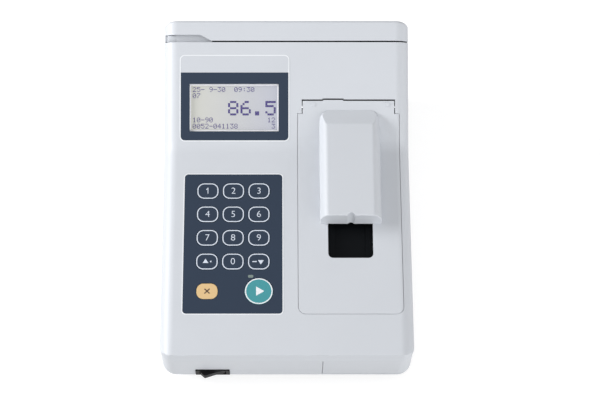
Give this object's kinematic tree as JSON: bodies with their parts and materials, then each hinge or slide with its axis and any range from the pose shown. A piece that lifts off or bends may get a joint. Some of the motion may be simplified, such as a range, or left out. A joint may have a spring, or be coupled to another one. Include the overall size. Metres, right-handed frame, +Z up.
{
  "type": "dry chemistry analyzer",
  "caption": "Bench analyzer with sloping display, keypad deck, hinged measuring cover with a hooded slide port, rear printer lid and waste drawer.",
  "frame": {"origin": "centre of the bounding box's bottom, on the table under the feet", "axes": "+Z up, -Y towards the user, +X to the user's right"},
  "size_m": [0.198, 0.276, 0.1214],
  "materials": {
    "shell_white": "fine moulded satin",
    "panel_blue": "printed sheet, satin",
    "clear_pane": "clear",
    "lcd_face": "lit display",
    "key_blue": "printed sheet, satin",
    "key_tan": "printed sheet, satin",
    "key_teal": "printed sheet, satin",
    "black_plastic": "moulded",
    "metal_plate": "bright",
    "rod_steel": "ground",
    "block_aluminium": "milled",
    "board_green": "solder mask",
    "light_lens": "translucent",
    "rubber_dark": "soft",
    "platen_rubber": "soft",
    "gear_white": "moulded",
    "paper_white": "paper",
    "bin_grey": "moulded"
  },
  "bodies": {
    "housing": {"lower_case": "shell_white", "top_case": "shell_white", "lid_hinge_pins": "rod_steel", "cover_hinge_pins": "rod_steel", "display_panel": "panel_blue", "display_pane": "clear_pane", "lcd_glass": "lcd_face", "lcd_frame": "metal_plate", "lcd_board": "board_green", "keypad_sheet": "panel_blue", "keypad_board": "board_green", "dome_switches": "metal_plate", "ready_light": "light_lens", "chassis": "metal_plate", "guide_rods": "rod_steel", "port_liner": "black_plastic", "feed_motor": "metal_plate", "incubator_block": "block_aluminium", "photometer_head": "black_plastic", "main_board": "board_green", "backup_battery": "metal_plate", "buzzer": "black_plastic", "paper_bay": "bin_grey", "printer_frame": "black_plastic", "thermal_head": "metal_plate", "tear_bar": "metal_plate", "printer_motor": "metal_plate", "switch_housing": "black_plastic", "dc_inlet": "black_plastic", "rubber_feet": "rubber_dark", "case_screws": "metal_plate"},
    "key_1_pad": {"key_1": "key_blue"},
    "key_2_pad": {"key_2": "key_blue"},
    "key_3_pad": {"key_3": "key_blue"},
    "key_4_pad": {"key_4": "key_blue"},
    "key_5_pad": {"key_5": "key_blue"},
    "key_6_pad": {"key_6": "key_blue"},
    "key_7_pad": {"key_7": "key_blue"},
    "key_8_pad": {"key_8": "key_blue"},
    "key_9_pad": {"key_9": "key_blue"},
    "key_up_pad": {"key_up": "key_blue"},
    "key_0_pad": {"key_0": "key_blue"},
    "key_down_pad": {"key_down": "key_blue"},
    "key_clear_pad": {"key_clear": "key_tan"},
    "key_start_pad": {"key_start": "key_teal"},
    "cover": {"measuring_cover": "shell_white", "cover_hood": "shell_white"},
    "lid": {"rear_lid": "shell_white", "platen_bracket": "black_plastic"},
    "platen": {"platen_roller": "platen_rubber", "platen_gear": "gear_white"},
    "idler": {"idler_gear": "gear_white"},
    "motor_drive": {"motor_gear": "gear_white"},
    "roll": {"paper_roll": "paper_white"},
    "drawer": {"drawer_front": "shell_white", "waste_bin": "bin_grey"},
    "rocker": {"power_rocker": "black_plastic"},
    "carriage": {"slide_carriage": "black_plastic"},
    "pinion": {"feed_pinion": "gear_white"}
  },
  "joints": [
    {"name": "key_1_press", "type": "slide", "parent": "housing", "child": "key_1_pad", "axis": [0, 0.0872, -0.9962], "range_m": [0, 0.0006], "stiffness_N_per_m": 800},
    {"name": "key_2_press", "type": "slide", "parent": "housing", "child": "key_2_pad", "axis": [0, 0.0872, -0.9962], "range_m": [0, 0.0006], "stiffness_N_per_m": 800},
    {"name": "key_3_press", "type": "slide", "parent": "housing", "child": "key_3_pad", "axis": [0, 0.0872, -0.9962], "range_m": [0, 0.0006], "stiffness_N_per_m": 800},
    {"name": "key_4_press", "type": "slide", "parent": "housing", "child": "key_4_pad", "axis": [0, 0.0872, -0.9962], "range_m": [0, 0.0006], "stiffness_N_per_m": 800},
    {"name": "key_5_press", "type": "slide", "parent": "housing", "child": "key_5_pad", "axis": [0, 0.0872, -0.9962], "range_m": [0, 0.0006], "stiffness_N_per_m": 800},
    {"name": "key_6_press", "type": "slide", "parent": "housing", "child": "key_6_pad", "axis": [0, 0.0872, -0.9962], "range_m": [0, 0.0006], "stiffness_N_per_m": 800},
    {"name": "key_7_press", "type": "slide", "parent": "housing", "child": "key_7_pad", "axis": [0, 0.0872, -0.9962], "range_m": [0, 0.0006], "stiffness_N_per_m": 800},
    {"name": "key_8_press", "type": "slide", "parent": "housing", "child": "key_8_pad", "axis": [0, 0.0872, -0.9962], "range_m": [0, 0.0006], "stiffness_N_per_m": 800},
    {"name": "key_9_press", "type": "slide", "parent": "housing", "child": "key_9_pad", "axis": [0, 0.0872, -0.9962], "range_m": [0, 0.0006], "stiffness_N_per_m": 800},
    {"name": "key_up_press", "type": "slide", "parent": "housing", "child": "key_up_pad", "axis": [0, 0.0872, -0.9962], "range_m": [0, 0.0006], "stiffness_N_per_m": 800},
    {"name": "key_0_press", "type": "slide", "parent": "housing", "child": "key_0_pad", "axis": [0, 0.0872, -0.9962], "range_m": [0, 0.0006], "stiffness_N_per_m": 800},
    {"name": "key_down_press", "type": "slide", "parent": "housing", "child": "key_down_pad", "axis": [0, 0.0872, -0.9962], "range_m": [0, 0.0006], "stiffness_N_per_m": 800},
    {"name": "key_clear_press", "type": "slide", "parent": "housing", "child": "key_clear_pad", "axis": [0, 0.0872, -0.9962], "range_m": [0, 0.0006], "stiffness_N_per_m": 800},
    {"name": "key_start_press", "type": "slide", "parent": "housing", "child": "key_start_pad", "axis": [0, 0.0872, -0.9962], "range_m": [0, 0.0006], "stiffness_N_per_m": 800},
    {"name": "cover_swing", "type": "hinge", "parent": "housing", "child": "cover", "pos_m": [0.05, 0.07145, 0.0868], "axis": [-1, 0, 0], "range_deg": [0, 95]},
    {"name": "lid_swing", "type": "hinge", "parent": "housing", "child": "lid", "pos_m": [0, 0.1328, 0.084], "axis": [-1, 0, 0], "range_deg": [0, 95]},
    {"name": "platen_spin", "type": "hinge", "parent": "lid", "child": "platen", "pos_m": [0, 0.1216, 0.107], "axis": [1, 0, 0], "continuous": true},
    {"name": "idler_spin", "type": "hinge", "parent": "housing", "child": "idler", "pos_m": [0.038, 0.11289, 0.10113], "axis": [1, 0, 0], "continuous": true},
    {"name": "motor_spin", "type": "hinge", "parent": "housing", "child": "motor_drive", "pos_m": [0.038, 0.11289, 0.09213], "axis": [1, 0, 0], "continuous": true},
    {"name": "roll_spin", "type": "hinge", "parent": "housing", "child": "roll", "pos_m": [0, 0.108, 0.079], "axis": [1, 0, 0], "continuous": true},
    {"name": "drawer_slide", "type": "slide", "parent": "housing", "child": "drawer", "axis": [0, -1, 0], "range_m": [0, 0.075]},
    {"name": "power_rock", "type": "hinge", "parent": "housing", "child": "rocker", "pos_m": [-0.0585, -0.13016, 0.01833], "axis": [0, -0.1736, 0.9848], "range_deg": [0, 18]},
    {"name": "carriage_feed", "type": "slide", "parent": "housing", "child": "carriage", "axis": [0, 0.9962, 0.0872], "range_m": [0, 0.04]},
    {"name": "pinion_spin", "type": "hinge", "parent": "housing", "child": "pinion", "pos_m": [0.0625, -0.01026, 0.05146], "axis": [1, 0, 0], "range_deg": [-430, 430]}
  ],
  "couplings": [
    {"joint": "pinion_spin", "follows": "carriage_feed", "rad_per_m": -178.57},
    {"joint": "idler_spin", "follows": "platen_spin", "ratio": -0.75},
    {"joint": "motor_spin", "follows": "platen_spin", "ratio": 1.5}
  ]
}
